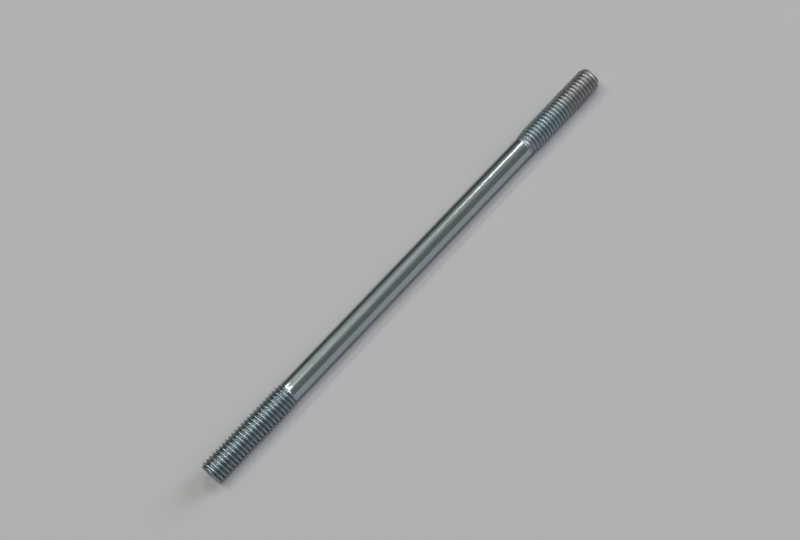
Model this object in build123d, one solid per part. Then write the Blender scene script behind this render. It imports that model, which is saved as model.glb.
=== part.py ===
from build123d import *
from math import radians, tan
import os

# Cylinder stud, M6 x 1: one steel bar with a thread rolled onto each end, and a plain shank between.
# The shank is the bar as it was before rolling, so it is thinner than the crests of the threads.
# The bar lies along X, with the end for the crankcase at -X and the end for the nut at +X.
# The origin is under the middle of the bar, at the height of the lowest crests.
# Each threaded end is solid out to its crests, because the grooves are too fine to be cut here.

# Bar (mm)
length = 132.5
shank_d = 5.3
case_thread = 25.5  # threaded length, from the end of the bar to the full shank
nut_thread = 25.0  # the same, at the other end

# Thread, the same at both ends
thread_d = 6.0  # over the crests
thread_pitch = 1.0
root_depth = 0.6134 * thread_pitch  # from crest to root, in a 60 degree metric thread

# Run-outs, where the crests fall to the shank
case_run_out = 0.5
nut_run_out = 1.3
foot_radius = 0.4  # rounding where a run-out meets the shank

# Points: the end faces are a little narrower than the roots, so that a nut or a tapped hole starts easily
point_margin = 0.05
chamfer_angle = 45.0  # of the crankcase end's cone, from the axis
crown_length = 1.9  # of the nut end's rounded edge, along the axis

crest_r = thread_d / 2
shank_r = shank_d / 2
point_r = crest_r - root_depth - point_margin
chamfer_length = (crest_r - point_r) / tan(radians(chamfer_angle))
case_end = -length / 2
nut_end = length / 2


def half_section():
    """The bar's section above its axis, with the axis along X as the lower edge."""
    case_foot = (case_end + case_thread, shank_r)
    nut_foot = (nut_end - nut_thread, shank_r)
    crown_start = (nut_end - crown_length, crest_r)
    outline = Polyline(
        (nut_end, point_r),
        (nut_end, 0),
        (case_end, 0),
        (case_end, point_r),
        (case_end + chamfer_length, crest_r),
        (case_foot[0] - case_run_out, crest_r),
        case_foot,
        nut_foot,
        (nut_foot[0] + nut_run_out, crest_r),
        crown_start,
    )
    crown = TangentArc(crown_start, (nut_end, point_r), tangent=(1, 0))
    section = make_face([outline, crown])
    feet = section.vertices().filter_by(lambda v: abs(v.Y - shank_r) < 1e-6)
    return fillet(feet, foot_radius)


def stud():
    """The bar, turned about its axis and raised until its crests rest at Z = 0."""
    bar = revolve(Plane.XZ * half_section(), Axis.X)
    return Pos(0, 0, crest_r) * bar


os.makedirs("parts", exist_ok=True)
export_step(stud(), "parts/stud.step")
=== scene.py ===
"""Cylinder stud: one zinc-plated steel bar with a rolled thread on each end, lying on a pale floor."""

import logging
import math
from dataclasses import dataclass, field
from enum import Enum
from typing import Optional, Union

import bpy
from mathutils import Matrix, Quaternion, Vector


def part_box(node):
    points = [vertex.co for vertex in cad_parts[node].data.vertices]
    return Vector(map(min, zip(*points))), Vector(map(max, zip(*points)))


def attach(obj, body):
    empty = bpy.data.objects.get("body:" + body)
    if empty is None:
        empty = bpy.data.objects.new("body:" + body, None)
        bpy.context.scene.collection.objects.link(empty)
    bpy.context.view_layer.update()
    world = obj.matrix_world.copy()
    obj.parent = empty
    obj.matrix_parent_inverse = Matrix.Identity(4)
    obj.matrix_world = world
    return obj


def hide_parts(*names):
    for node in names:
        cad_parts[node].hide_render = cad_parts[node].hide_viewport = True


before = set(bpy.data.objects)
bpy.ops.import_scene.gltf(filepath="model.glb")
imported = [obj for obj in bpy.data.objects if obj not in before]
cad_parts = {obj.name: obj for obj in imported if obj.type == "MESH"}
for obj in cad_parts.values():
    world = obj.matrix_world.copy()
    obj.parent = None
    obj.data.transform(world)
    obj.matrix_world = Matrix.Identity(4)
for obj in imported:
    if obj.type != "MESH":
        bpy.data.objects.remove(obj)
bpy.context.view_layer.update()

log = logging.getLogger("cylinder_stud")

MM = 0.001
FLANK_SLOPE = math.sqrt(3.0)  # fall of a 60 degree thread's flank per unit along the axis

Colour = tuple[float, float, float]
Span = tuple[float, float]
Number = Union[float, int, "Value"]

WARM: Colour = (1.0, 1.0, 0.93)
COOL: Colour = (0.97, 1.0, 1.22)


class Hand(Enum):
    """Which way a thread turns: a right-hand nut goes on clockwise."""

    RIGHT = 1.0
    LEFT = -1.0


class Point(Enum):
    """Shape of a threaded bar's end."""

    CONE = "cone"
    CROWN = "crown"


class Socket(Enum):
    """Types of node sockets."""

    NUMBER = "NodeSocketFloat"
    COUNT = "NodeSocketInt"
    CHOICE = "NodeSocketBool"
    MATERIAL = "NodeSocketMaterial"
    MESH = "NodeSocketGeometry"


Inputs = dict[str, tuple[Socket, object]]  # socket type and value, by the name of the input


# ---------------------------------------------------------------- node trees


@dataclass
class Value:
    """A socket in a node tree that can be used in plain arithmetic.

    Args:
        tree: The tree that the socket belongs to.
        socket: The output socket that carries the number.
    """

    tree: bpy.types.NodeTree
    socket: bpy.types.NodeSocket

    def apply(self, operation: str, *operands: Number) -> "Value":
        """Adds a Math node on this value.

        Args:
            operation: The node's operation.
            operands: Its second and third inputs.

        Returns:
            The node's result.
        """
        inputs = dict(enumerate((self, *operands)))
        return Value(self.tree, node(self.tree, "ShaderNodeMath", inputs, operation=operation).outputs[0])

    def __add__(self, other: Number) -> "Value":
        """Sum."""
        return self.apply("ADD", other)

    def __sub__(self, other: Number) -> "Value":
        """Difference."""
        return self.apply("SUBTRACT", other)

    def __rsub__(self, other: Number) -> "Value":
        """Difference from a plain number."""
        return (self * -1.0) + other

    def __mul__(self, other: Number) -> "Value":
        """Product."""
        return self.apply("MULTIPLY", other)

    def __truediv__(self, other: Number) -> "Value":
        """Quotient."""
        return self.apply("DIVIDE", other)

    __radd__ = __add__
    __rmul__ = __mul__

    def ramp(self, low: Number, high: Number, smooth: bool = True) -> "Value":
        """Goes from 0 at low to 1 at high, and stays there.

        Args:
            low: Where it leaves 0.
            high: Where it reaches 1.
            smooth: Whether it eases in and out.

        Returns:
            The ramp.
        """
        made = node(self.tree, "ShaderNodeMapRange", {"Value": self, "From Min": low, "From Max": high},
                    interpolation_type="SMOOTHSTEP" if smooth else "LINEAR")
        return Value(self.tree, made.outputs[0])


def plug(tree: bpy.types.NodeTree, source: object, target: bpy.types.NodeSocket) -> None:
    """Links a socket to an input, or writes a plain value into it.

    Args:
        tree: The tree that holds both.
        source: A Value, an output socket, or a plain value.
        target: The input.
    """
    if isinstance(source, Value):
        source = source.socket
    if isinstance(source, bpy.types.NodeSocket):
        tree.links.new(source, target)
    else:
        target.default_value = source


def node(tree: bpy.types.NodeTree, kind: str, inputs: Optional[dict[Union[str, int], object]] = None,
         **settings: object) -> bpy.types.Node:
    """Adds a node.

    Args:
        tree: The tree that gets it.
        kind: The node's type.
        inputs: What each input gets, by its name or number.
        settings: The node's own settings.

    Returns:
        The node.
    """
    made = tree.nodes.new(kind)
    for name, setting in settings.items():
        setattr(made, name, setting)
    for key, source in (inputs or {}).items():
        plug(tree, source, made.inputs[key])
    return made


def mix(tree: bpy.types.NodeTree, amount: Value, low: object, high: object) -> bpy.types.NodeSocket:
    """Mixes two colours.

    Args:
        tree: The tree that gets the node.
        amount: How much of the second.
        low: The first colour, as three numbers or a socket.
        high: The second.

    Returns:
        The mixed colour.
    """
    made = node(tree, "ShaderNodeMix", data_type="RGBA")
    plug(tree, amount, made.inputs[0])
    for slot, colour in ((made.inputs[6], low), (made.inputs[7], high)):
        plug(tree, (*colour, 1.0) if isinstance(colour, tuple) else colour, slot)
    return made.outputs[2]


def split(tree: bpy.types.NodeTree, vector: bpy.types.NodeSocket) -> list[Value]:
    """Takes a vector apart into its X, Y and Z."""
    return [Value(tree, part) for part in node(tree, "ShaderNodeSeparateXYZ", {0: vector}).outputs]


def vector(tree: bpy.types.NodeTree, x: Number = 0.0, y: Number = 0.0,
           z: Number = 0.0) -> bpy.types.NodeSocket:
    """Puts X, Y and Z together into a vector."""
    return node(tree, "ShaderNodeCombineXYZ", {0: x, 1: y, 2: z}).outputs[0]


def join(tree: bpy.types.NodeTree, *parts: bpy.types.NodeSocket) -> bpy.types.NodeSocket:
    """Joins meshes into one.

    Args:
        tree: The tree that holds them.
        parts: The meshes.

    Returns:
        The joined mesh.
    """
    joined = node(tree, "GeometryNodeJoinGeometry")
    for part in parts:
        tree.links.new(part, joined.inputs[0])
    return joined.outputs[0]


def geometry_tree(name: str, inputs: Inputs) -> tuple[bpy.types.NodeTree, dict[str, Value]]:
    """Starts a Geometry Nodes tree that gives one mesh.

    Args:
        name: Name of the tree.
        inputs: Its inputs, of which only the names and the socket types are used.

    Returns:
        The tree, and its inputs by name.
    """
    tree = bpy.data.node_groups.new(name, "GeometryNodeTree")
    tree.interface.new_socket("Mesh", in_out="OUTPUT", socket_type=Socket.MESH.value)
    for label, (kind, _) in inputs.items():
        tree.interface.new_socket(label, in_out="INPUT", socket_type=kind.value)
    entry = tree.nodes.new("NodeGroupInput")
    return tree, {socket.name: Value(tree, socket) for socket in entry.outputs if socket.name}


def polar_grid(tree: bpy.types.NodeTree, rows: Number,
               segments: Value) -> tuple[bpy.types.NodeSocket, Value, Value]:
    """Adds a flat grid that can be wrapped round the bar's axis.

    Args:
        tree: The tree that gets it.
        rows: How many rows of points it has.
        segments: How many faces go round the axis.

    Returns:
        The grid, a point's place across its rows, from 0 to 1, and its place round the axis, in turns.
    """
    grid = node(tree, "GeometryNodeMeshGrid", {
        "Size X": 1.0, "Size Y": 1.0, "Vertices X": rows, "Vertices Y": segments + 1.0})
    s, t, _ = split(tree, node(tree, "GeometryNodeInputPosition").outputs[0])
    return grid.outputs["Mesh"], s + 0.5, ((t + 0.5) * segments).apply("ROUND") / segments


def wrap(tree: bpy.types.NodeTree, mesh: bpy.types.NodeSocket, x: Value, radius: Value,
         turn: Value) -> bpy.types.NodeSocket:
    """Wraps a flat grid round the X axis.

    Args:
        tree: The tree that holds the grid.
        mesh: The grid.
        x: Place along the axis.
        radius: Distance from the axis.
        turn: Place round the axis, in turns from +Y towards +Z.

    Returns:
        The wrapped mesh.
    """
    angle = turn * (2 * math.pi)
    spot = vector(tree, x, radius * angle.apply("COSINE"), radius * angle.apply("SINE"))
    return node(tree, "GeometryNodeSetPosition", {"Geometry": mesh, "Position": spot}).outputs[0]


# ---------------------------------------------------------------- finishes


@dataclass(frozen=True)
class ZincPlate:
    """Bright zinc plate, passivated blue, over drawn and rolled steel.

    The blue film is thin enough to show faint colours. It is a little darker on the thread crests than on the
    shank, the grooves are painted darker still as painted shade, and it is rubbed to a greyer tone where nuts
    have been on the outer turns.

    Args:
        green_patches: Levels of the patches' noise between which the green film comes up.
        rose_patches: The same for the rose film.
        film_patch: Length of a patch of film along the bar.
        film_girth: Size of a patch of film round the bar.
        drawn_line: Width of a drawn line.
        drawn_length: Its length.
        case_fade: Length over which the shank's finish turns into the crankcase thread's.
        nut_fade: Where it turns into the nut thread's, before the foot of that thread.
        wear_span: Where the wear comes up, from the foot of the nut thread.
        groove_shade: Share of the groove's depth between which the groove's roughness and its darker colour,
            a painted shade, come up.
        nut_wear: Roughness added on the nut thread.
        point_scuffing: Roughness added on the point of the nut end.
        point_share: Share of that point's length that has all of it.
        line_roughness: Roughness that the drawn lines add and take.
        line_height: Share of the drawn lines in the relief.
        grain_height: Share of the grain.
        thread_smoothing: Share of the relief that is missing on the threads.
    """

    name: str = "zinc_plate"
    shank: Colour = (0.43, 0.50, 0.54)
    film_green: Colour = (0.41, 0.50, 0.50)
    film_rose: Colour = (0.46, 0.50, 0.53)
    thread: Colour = (0.395, 0.475, 0.495)
    # painted shade: the groove colour is darker than the crests' to stand in for shade in the recesses
    groove: Colour = (0.30, 0.34, 0.355)
    worn_thread: Colour = (0.38, 0.388, 0.38)
    worn_groove: Colour = (0.39, 0.395, 0.385)
    green_patches: Span = (0.48, 0.62)
    rose_patches: Span = (0.50, 0.36)
    film_patch: float = 9.0 * MM
    film_girth: float = 75.0 * MM
    drawn_line: float = 0.25 * MM
    drawn_length: float = 7.0 * MM
    grain: float = 0.12 * MM
    case_fade: float = 0.3 * MM
    nut_fade: Span = (0.75 * MM, 0.5 * MM)
    wear_span: Span = (12.5 * MM, 15.0 * MM)
    groove_shade: Span = (0.15, 0.85)
    shank_roughness: float = 0.20
    crest_roughness: float = 0.30
    groove_roughness: float = 0.36
    nut_wear: float = 0.08
    point_scuffing: float = 0.10
    point_share: float = 0.6
    line_roughness: float = 0.12
    line_height: float = 0.6
    grain_height: float = 0.4
    thread_smoothing: float = 0.7
    relief: float = 0.02 * MM
    relief_strength: float = 0.25

    def material(self, stud: "Stud") -> bpy.types.Material:
        """Makes the finish for one stud.

        Args:
            stud: The stud, for the places of its threads.

        Returns:
            The material.
        """
        made = bpy.data.materials.new(self.name)
        made.use_nodes = True
        tree = made.node_tree
        shader = tree.nodes["Principled BSDF"]
        shader.inputs["Metallic"].default_value = 1.0
        place = node(tree, "ShaderNodeTexCoord").outputs["Object"]
        x, y, z = split(tree, place)
        drop = z - stud.axis_height
        radius = (y * y + drop * drop).apply("SQRT")

        # regions
        nut_face = stud.length / 2
        case_foot = -stud.length / 2 + stud.case_end.length
        nut_foot = nut_face - stud.nut_end.length
        point = stud.nut_end.point_length
        on_case = 1.0 - x.ramp(case_foot - self.case_fade, case_foot)
        on_nut = x.ramp(*(nut_foot - before for before in self.nut_fade))
        on_thread = on_case + on_nut
        on_point = x.ramp(nut_face - point, nut_face - self.point_share * point)
        worn = x.ramp(*(nut_foot + after for after in self.wear_span))
        # depth into the groove: drives the grooves' roughness and their darker colour, which is painted shade
        in_groove = ((stud.crest_radius - radius) / stud.root_depth).ramp(*self.groove_shade)

        # colour
        patches = self.noise(tree, place, (1.0 / self.film_patch, 1.0 / self.film_girth), detail=3.0)
        plain = mix(tree, patches.ramp(*self.green_patches), self.shank, self.film_green)
        plain = mix(tree, patches.ramp(*self.rose_patches), plain, self.film_rose)
        crests = mix(tree, worn, self.thread, self.worn_thread)
        # grooves coloured darker than the crests: painted shade in the recesses; on the worn turns the two
        # are about equal
        grooves = mix(tree, worn, self.groove, self.worn_groove)
        threaded = mix(tree, in_groove, crests, grooves)
        plug(tree, mix(tree, on_thread, plain, threaded), shader.inputs["Base Color"])

        # roughness
        lines = self.noise(tree, place, (1.0 / self.drawn_length, 1.0 / self.drawn_line), detail=4.0)
        rough = in_groove * (self.groove_roughness - self.crest_roughness) + self.crest_roughness
        rough = rough + on_nut * self.nut_wear + on_point * self.point_scuffing
        rough = on_thread * (rough - self.shank_roughness) + self.shank_roughness
        plug(tree, rough + (lines - 0.5) * self.line_roughness, shader.inputs["Roughness"])

        # relief
        grain = self.noise(tree, place, (1.0 / self.grain, 1.0 / self.grain), detail=2.0)
        height = lines * self.line_height + grain * self.grain_height
        height = height * (1.0 - on_thread * self.thread_smoothing)
        bump = node(tree, "ShaderNodeBump", {
            "Height": height, "Strength": self.relief_strength, "Distance": self.relief})
        plug(tree, bump.outputs[0], shader.inputs["Normal"])
        return made

    @staticmethod
    def noise(tree: bpy.types.NodeTree, place: bpy.types.NodeSocket, scale: Span, detail: float) -> Value:
        """Noise with one scale along the bar and another round it.

        Args:
            tree: The material's tree.
            place: The coordinates.
            scale: Features per metre along the bar, and round it.
            detail: Octaves.

        Returns:
            The noise, about 0.5.
        """
        along, around = scale
        turned = node(tree, "ShaderNodeMapping", {"Vector": place, "Scale": (along, around, around)})
        made = node(tree, "ShaderNodeTexNoise", {"Vector": turned.outputs[0], "Scale": 1.0, "Detail": detail})
        return Value(tree, made.outputs[0])


@dataclass(frozen=True)
class Paper:
    """Matt, pale grey paper."""

    colour: Colour = (0.410, 0.412, 0.403)
    roughness: float = 0.85
    specular: float = 0.2

    def material(self) -> bpy.types.Material:
        """Makes the paper.

        Returns:
            The material.
        """
        made = bpy.data.materials.new("paper")
        made.use_nodes = True
        shader = made.node_tree.nodes["Principled BSDF"]
        shader.inputs["Base Color"].default_value = (*self.colour, 1.0)
        shader.inputs["Roughness"].default_value = self.roughness
        shader.inputs["Specular IOR Level"].default_value = self.specular
        return made


# ---------------------------------------------------------------- stud


@dataclass
class ThreadedEnd:
    """One threaded end of the bar, measured from its end face inwards.

    Args:
        length: From the end face to the foot of the crests.
        overrun: How far the last trace of the groove goes past that foot.
        crest_run_out: Length over which the crests fall to the shank.
        groove_run_out: Length over which the groove comes up to the shank.
        point: Shape of the end.
        point_length: Length of that shape.
        rim: Rounding of the end face's edge.
        start_angle: Where a crest meets the end face, in turns.
    """

    length: float
    overrun: float
    crest_run_out: float
    groove_run_out: float
    point: Point
    point_length: float
    rim: float
    start_angle: float

    def inputs(self) -> Inputs:
        """The node inputs that belong to this end alone.

        Returns:
            Socket type and value by name.
        """
        return {
            "Length": (Socket.NUMBER, self.length),
            "Overrun": (Socket.NUMBER, self.overrun),
            "Crest Run-out": (Socket.NUMBER, self.crest_run_out),
            "Groove Run-out": (Socket.NUMBER, self.groove_run_out),
            "Crown": (Socket.CHOICE, self.point is Point.CROWN),
            "Point Length": (Socket.NUMBER, self.point_length),
            "Rim": (Socket.NUMBER, self.rim),
            "Start Angle": (Socket.NUMBER, self.start_angle),
        }


@dataclass
class Stud:
    """The bar with its two threaded ends.

    Sizes that the frame gives, which are the bar's length, its crests and the height of its axis, are read
    from the box of the CAD node.

    Args:
        node_name: The CAD node that the bar stands for.
        shank_radius: Radius of the plain shank.
        pitch: Pitch of both threads.
        root_depth: From crest to root.
        crest_width: Flat of a crest.
        crest_rounding: Rounding where the flat meets the flanks, as a share of the depth.
        root_rounding: Rounding of the root, as a share of the depth.
        point_margin: How far the end faces stay inside the roots.
        hand: Hand of both threads.
        segments: Faces round the axis.
        rows_per_pitch: Rows of the mesh per pitch.
        spare_turns: Turns of mesh beyond the thread, since the rows are sheared and both ends are cut square.
        lead_turns: How many of those lie outside the end face.
        rim_rings: Rings of points in an end face.
        shank_rows: Rows of points along the shank.
        weld: Distance under which points are merged.
        case_end: The end for the crankcase, at -X.
        nut_end: The end for the nut, at +X.
    """

    node_name: str = "stud"
    shank_radius: float = 2.65 * MM
    pitch: float = 1.0 * MM
    root_depth: float = 0.6134 * MM
    crest_width: float = 0.19 * MM
    crest_rounding: float = 0.05
    root_rounding: float = 0.15
    point_margin: float = 0.05 * MM
    hand: Hand = Hand.RIGHT
    segments: int = 72
    rows_per_pitch: int = 24
    spare_turns: int = 3
    lead_turns: int = 2
    rim_rings: int = 11
    shank_rows: int = 60
    weld: float = 0.0015 * MM
    case_end: ThreadedEnd = field(default_factory=lambda: ThreadedEnd(
        length=25.5 * MM, overrun=0.1 * MM, crest_run_out=1.3 * MM, groove_run_out=0.9 * MM,
        point=Point.CONE, point_length=0.6634 * MM, rim=0.10 * MM, start_angle=0.85))
    nut_end: ThreadedEnd = field(default_factory=lambda: ThreadedEnd(
        length=25.0 * MM, overrun=0.7 * MM, crest_run_out=2.6 * MM, groove_run_out=1.5 * MM,
        point=Point.CROWN, point_length=1.9 * MM, rim=0.12 * MM, start_angle=0.97))

    def __post_init__(self) -> None:
        """Reads the bar's outer sizes from its CAD node."""
        low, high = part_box(self.node_name)
        self.length: float = high[0] - low[0]
        self.crest_radius: float = (high[2] - low[2]) / 2
        self.axis_height: float = (high[2] + low[2]) / 2

    def shared_inputs(self) -> Inputs:
        """The node inputs that both ends share.

        Returns:
            Socket type and value by name.
        """
        return {
            "Shank Radius": (Socket.NUMBER, self.shank_radius),
            "Crest Radius": (Socket.NUMBER, self.crest_radius),
            "Root Depth": (Socket.NUMBER, self.root_depth),
            "Crest Width": (Socket.NUMBER, self.crest_width),
            "Point Radius": (Socket.NUMBER, self.crest_radius - self.root_depth - self.point_margin),
            "Pitch": (Socket.NUMBER, self.pitch),
            "Hand": (Socket.NUMBER, self.hand.value),
            "Segments": (Socket.COUNT, self.segments),
            "Rows per Pitch": (Socket.COUNT, self.rows_per_pitch),
        }

    def inputs(self, finish: Optional[bpy.types.Material] = None) -> Inputs:
        """All the node inputs of the bar.

        Args:
            finish: The material, when it is known.

        Returns:
            Socket type and value by name.
        """
        made = {
            "Bar Length": (Socket.NUMBER, self.length),
            "Axis Height": (Socket.NUMBER, self.axis_height),
            "Finish": (Socket.MATERIAL, finish),
            **self.shared_inputs(),
        }
        for label, end in (("Case", self.case_end), ("Nut", self.nut_end)):
            made.update({f"{label} {name}": given for name, given in end.inputs().items()})
        return made

    def surface(self, group: bpy.types.NodeTree, sizes: dict[str, Value], u: Value, turn: Value) -> Value:
        """Radius of a threaded end.

        Args:
            group: The tree that works it out.
            sizes: The end's sizes.
            u: Distance from the end face.
            turn: Place round the axis, in turns.

        Returns:
            Distance of the surface from the axis.
        """
        crest, shank = sizes["Crest Radius"], sizes["Shank Radius"]
        pitch, depth = sizes["Pitch"], sizes["Root Depth"]
        foot, point = sizes["Length"], sizes["Point Length"]

        # groove: a 60 degree V between narrow, rounded crests, with a round root
        phase = u / pitch - turn * sizes["Hand"] - sizes["Start Angle"]
        to_crest = (phase - phase.apply("ROUND")).apply("ABSOLUTE")
        fall = (to_crest * pitch - sizes["Crest Width"] / 2.0) * FLANK_SLOPE / depth
        fall = fall.apply("SMOOTH_MIN", 1.0, self.root_rounding).apply("SMOOTH_MAX", 0.0, self.crest_rounding)
        crest_line = crest - (crest - shank) * u.ramp(foot - sizes["Crest Run-out"], foot, smooth=False)
        inner = foot + sizes["Overrun"]
        root = crest - depth
        root_line = root + (shank - root) * u.ramp(inner - sizes["Groove Run-out"], inner, smooth=False)
        threaded = crest_line - (crest_line - root_line) * fall

        # point: a cone, or a crown that leaves the crests at a tangent
        height = crest - sizes["Point Radius"]
        cone = sizes["Point Radius"] + height * u / point
        bend = (point * point + height * height) / (height * 2.0)
        reach = (point - u).apply("MAXIMUM", 0.0)
        crown = crest - bend + (bend * bend - reach * reach).apply("SQRT")
        pointed = node(group, "GeometryNodeSwitch", {"Switch": sizes["Crown"], "False": cone, "True": crown},
                       input_type="FLOAT")
        return threaded.apply("MINIMUM", Value(group, pointed.outputs[0]))

    def end_group(self) -> bpy.types.NodeTree:
        """Node group of one threaded end, with its face at X = 0 and the bar going to +X.

        The rows of the mesh follow the helix, so crests and grooves lie along its edges.

        Returns:
            The group.
        """
        group, sizes = geometry_tree("threaded_end", {**self.shared_inputs(), **self.case_end.inputs()})
        pitch, rim, segments = sizes["Pitch"], sizes["Rim"], sizes["Segments"]

        # rows along the helix: one turn is one pitch, so the grid shears by a pitch as it goes round
        inner = sizes["Length"] + sizes["Overrun"]
        turns = (inner / pitch).apply("CEIL") + self.spare_turns
        rows = turns * sizes["Rows per Pitch"] + 1.0
        grid, share, turn = polar_grid(group, rows, segments)
        pitches = (share * (rows - 1.0)).apply("ROUND") / sizes["Rows per Pitch"]
        along = (pitches + turn * sizes["Hand"] + sizes["Start Angle"] - self.lead_turns) * pitch
        u = along.apply("MAXIMUM", rim).apply("MINIMUM", inner)
        sleeve = wrap(group, grid, u, self.surface(group, sizes, u, turn), turn)

        # end face: a small round rim over the first half of the rings, and a flat over the second
        disc, share, turn = polar_grid(group, self.rim_rings, segments)
        bend = (share * 2.0).apply("MINIMUM", 1.0) * (math.pi / 2)
        inward = (share * 2.0 - 1.0).apply("MAXIMUM", 0.0)
        edge = self.surface(group, sizes, rim, turn)
        face_u = rim * (1.0 - bend.apply("SINE"))
        face_radius = (edge - rim * (1.0 - bend.apply("COSINE"))) * (1.0 - inward)
        cap = wrap(group, disc, face_u, face_radius, turn)
        cap = node(group, "GeometryNodeFlipFaces", {"Mesh": cap}).outputs[0]

        node(group, "NodeGroupOutput", {"Mesh": join(group, cap, sleeve)})
        return group

    def tree(self) -> bpy.types.NodeTree:
        """Geometry node tree of the whole bar, with its sizes as named inputs.

        Returns:
            The tree.
        """
        tree, sizes = geometry_tree("cylinder_stud", self.inputs())
        group = self.end_group()
        half = sizes["Bar Length"] / 2.0
        ends = []
        for label, end, side, half_turn in (
                ("Case", self.case_end, -1.0, 0.0), ("Nut", self.nut_end, 1.0, math.pi)):
            given = {name: sizes[name] for name in self.shared_inputs()}
            given.update({name: sizes[f"{label} {name}"] for name in end.inputs()})
            made = node(tree, "GeometryNodeGroup", given, node_tree=group)
            placed = node(tree, "GeometryNodeTransform", {
                "Geometry": made.outputs[0], "Translation": vector(tree, x=half * side),
                "Rotation": (0.0, 0.0, half_turn)})
            ends.append(placed.outputs[0])

        # plain shank between the two run-outs
        grid, share, turn = polar_grid(tree, self.shank_rows, sizes["Segments"])
        start = sizes["Case Length"] + sizes["Case Overrun"] - half
        span = half - sizes["Nut Length"] - sizes["Nut Overrun"] - start
        shank = wrap(tree, grid, start + span * share, sizes["Shank Radius"], turn)

        lift = vector(tree, z=sizes["Axis Height"])
        bar = join(tree, shank, *ends)
        for kind, mesh_input, others in (
                ("GeometryNodeTransform", "Geometry", {"Translation": lift}),
                ("GeometryNodeMergeByDistance", "Geometry", {"Distance": self.weld}),
                ("GeometryNodeFlipFaces", "Mesh", {}),
                ("GeometryNodeSetShadeSmooth", "Geometry", {}),
                ("GeometryNodeRealizeInstances", "Geometry", {}),
                ("GeometryNodeSetMaterial", "Geometry", {"Material": sizes["Finish"]})):
            bar = node(tree, kind, {mesh_input: bar, **others}).outputs[0]
        node(tree, "NodeGroupOutput", {"Mesh": bar})
        return tree

    def build(self, finish: bpy.types.Material) -> bpy.types.Object:
        """Builds the bar as one closed mesh.

        Args:
            finish: Its material.

        Returns:
            The bar.
        """
        carrier = bpy.data.objects.new("stud_carrier", bpy.data.meshes.new("stud_carrier"))
        bpy.context.scene.collection.objects.link(carrier)
        modifier = carrier.modifiers.new("stud", "NODES")
        modifier.node_group = self.tree()
        values = self.inputs(finish)
        for item in modifier.node_group.interface.items_tree:
            if item.in_out == "INPUT":
                modifier[item.identifier] = values[item.name][1]
        graph = bpy.context.evaluated_depsgraph_get()
        mesh = bpy.data.meshes.new_from_object(carrier.evaluated_get(graph))
        carrier.modifiers.remove(modifier)
        bpy.data.objects.remove(carrier)
        mesh.name = "stud_bar"
        bar = bpy.data.objects.new("stud_bar", mesh)
        bpy.context.scene.collection.objects.link(bar)
        return bar

    def declare(self, bar: bpy.types.Object) -> None:
        """Says what the bar rides on, and hides the CAD node that it stands for.

        Args:
            bar: The bar, as a plain mesh.
        """
        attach(bar, "root")
        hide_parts(self.node_name)


# ---------------------------------------------------------------- studio


@dataclass
class Softbox:
    """A rectangular lamp aimed at the stud.

    Args:
        name: Name of the lamp.
        across: Angle from overhead, towards the camera's side where positive, in degrees.
        along: Angle from overhead towards +X, in degrees.
        wide: Half of the angle that it fills across the stud, in degrees.
        long: Half of the angle that it fills along the stud, in degrees.
        level: Radiance, where 1 is a white surface in full light.
        colour: Tint.
        distance: From the stud.
    """

    name: str
    across: float
    along: float
    wide: float
    long: float
    level: float
    colour: Colour = WARM
    distance: float = 3.0

    def build(self) -> bpy.types.Object:
        """Places the lamp.

        Returns:
            The lamp.
        """
        lamp = bpy.data.lights.new(self.name, "AREA")
        lamp.shape = "RECTANGLE"
        lamp.size = 2 * self.distance * math.tan(math.radians(self.long))
        lamp.size_y = 2 * self.distance * math.tan(math.radians(self.wide))
        lamp.energy = self.level * math.pi * lamp.size * lamp.size_y
        lamp.color = self.colour
        made = bpy.data.objects.new(self.name, lamp)
        bpy.context.scene.collection.objects.link(made)
        across, along = math.radians(self.across), math.radians(self.along)
        direction = Vector((
            math.sin(along), -math.sin(across) * math.cos(along), math.cos(across) * math.cos(along)))
        forward = -direction
        level = Vector((1, 0, 0)) - forward * forward.x
        level.normalize()
        turn = Matrix((level, (-forward).cross(level), -forward)).transposed()
        made.matrix_world = Matrix.Translation(direction * self.distance) @ turn.to_4x4()
        return made


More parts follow.
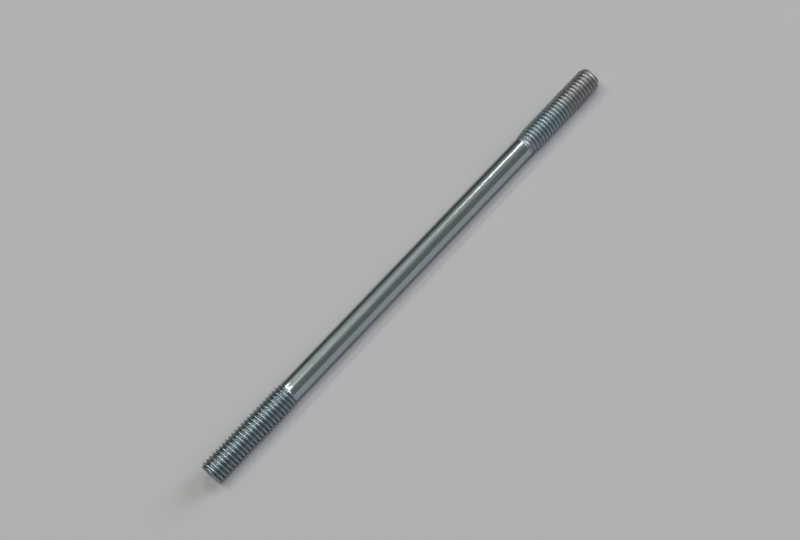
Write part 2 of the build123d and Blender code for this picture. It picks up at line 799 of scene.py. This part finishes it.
@dataclass
class Studio:
    """Pale floor, soft light and camera.

    The room round them is grey. Each of its spans is given in the X or Y of the direction looked in.

    Args:
        floor_size: Side of the floor.
        paper: Finish of the floor.
        near_wall: Brightness of the room on the camera's side.
        side_wall: Brightness beyond both ends of the stud.
        far_wall: Brightness on the far side.
        far_to_near: Where the far wall gives way to the near one.
        right_side: Where the wall beyond +X comes up.
        left_side: Where the wall beyond -X comes up.
        ceiling: Brightness added overhead.
        glow_tilt: How far the brightest part of the ceiling leans to +Y, in degrees.
        glow_span: Where the ceiling's brightness starts and peaks.
        glow_power: How fast it gathers towards the peak.
        eye: Place of the camera.
        aim: What it looks at.
        roll: Its turn about the line of sight, in degrees.
        lens: Focal length in mm.
        near_clip: Nearest thing it sees.
        lamps: The lamps.
    """

    floor_size: float = 6.0
    paper: Paper = Paper()
    near_wall: float = 0.18
    side_wall: float = 0.30
    far_wall: float = 0.08
    far_to_near: Span = (0.15, -0.25)
    right_side: Span = (0.45, 0.65)
    left_side: Span = (-0.05, -0.30)
    ceiling: float = 0.42
    glow_tilt: float = 8.0
    glow_span: Span = (0.55, 1.0)
    glow_power: float = 2.0
    eye: tuple[float, float, float] = (-0.076567, -0.152955, 0.267925)
    aim: tuple[float, float, float] = (-0.002201, 0.001088, 0.003)
    roll: float = 24.146
    lens: float = 60.75
    near_clip: float = 0.01
    lamps: tuple[Softbox, ...] = (
        Softbox("right_lamp", across=-11.5, along=28.0, wide=3.4, long=5.5, level=19.5),
        Softbox("rear_lamp", across=-5.0, along=-14.0, wide=5.0, long=7.0, level=8.0),
        Softbox("middle_lamp", across=13.5, along=-12.0, wide=4.0, long=8.0, level=10.8),
        Softbox("far_lamp", across=-29.0, along=-12.0, wide=4.0, long=8.0, level=9.6),
        Softbox("middle_glow", across=13.5, along=-5.2, wide=3.0, long=5.6, level=13.0),
        Softbox("far_glow", across=-29.0, along=-5.2, wide=3.0, long=5.6, level=11.5),
        Softbox("side_lamp", across=27.0, along=59.0, wide=11.0, long=14.0, level=6.9, colour=COOL),
    )

    def floor(self) -> bpy.types.Object:
        """Makes the floor.

        Returns:
            The floor.
        """
        half = self.floor_size / 2
        mesh = bpy.data.meshes.new("floor")
        corners = [(-half, -half, 0), (half, -half, 0), (half, half, 0), (-half, half, 0)]
        mesh.from_pydata(corners, [], [(0, 1, 2, 3)])
        mesh.materials.append(self.paper.material())
        made = bpy.data.objects.new("floor", mesh)
        bpy.context.scene.collection.objects.link(made)
        return made

    def world(self) -> None:
        """Makes the room: grey, and darker on the far side of the stud."""
        made = bpy.data.worlds.new("room")
        made.use_nodes = True
        tree = made.node_tree
        x, y, z = split(tree, node(tree, "ShaderNodeTexCoord").outputs["Generated"])
        beside = x.ramp(*self.right_side) + x.ramp(*self.left_side)
        near = beside * (self.side_wall - self.near_wall) + self.near_wall
        wall = y.ramp(*self.far_to_near) * (near - self.far_wall) + self.far_wall
        tilt = math.radians(self.glow_tilt)
        overhead = y * math.sin(tilt) + z * math.cos(tilt)
        glow = overhead.ramp(*self.glow_span, smooth=False).apply("POWER", self.glow_power)
        background = tree.nodes["Background"]
        plug(tree, mix(tree, beside, WARM, COOL), background.inputs["Color"])
        plug(tree, wall + glow * self.ceiling, background.inputs["Strength"])
        bpy.context.scene.world = made

    def camera(self) -> bpy.types.Object:
        """Makes the camera and gives it to the scene.

        Returns:
            The camera.
        """
        lens = bpy.data.cameras.new("camera")
        lens.lens = self.lens
        lens.clip_start = self.near_clip
        made = bpy.data.objects.new("camera", lens)
        bpy.context.scene.collection.objects.link(made)
        eye, aim = Vector(self.eye), Vector(self.aim)
        roll = Quaternion((0, 0, 1), -math.radians(self.roll))
        made.rotation_mode = "QUATERNION"
        made.location = eye
        made.rotation_quaternion = (aim - eye).to_track_quat("-Z", "Y") @ roll
        bpy.context.scene.camera = made
        return made

    def build(self) -> None:
        """Sets up everything round the stud."""
        self.floor()
        self.world()
        for lamp in self.lamps:
            lamp.build()
        self.camera()
        bpy.context.scene.view_settings.view_transform = "Standard"


def main() -> None:
    """Builds the stud and its surroundings, and logs the bar's triangle count."""
    logging.basicConfig(level=logging.INFO, format="%(name)s: %(message)s")
    stud = Stud()
    bar = stud.build(ZincPlate().material(stud))
    stud.declare(bar)
    bar.data.calc_loop_triangles()
    log.info("%s: %d triangles", bar.name, len(bar.data.loop_triangles))
    Studio().build()
    log.info("floor, lamps and camera")


if __name__ == "__main__":
    main()
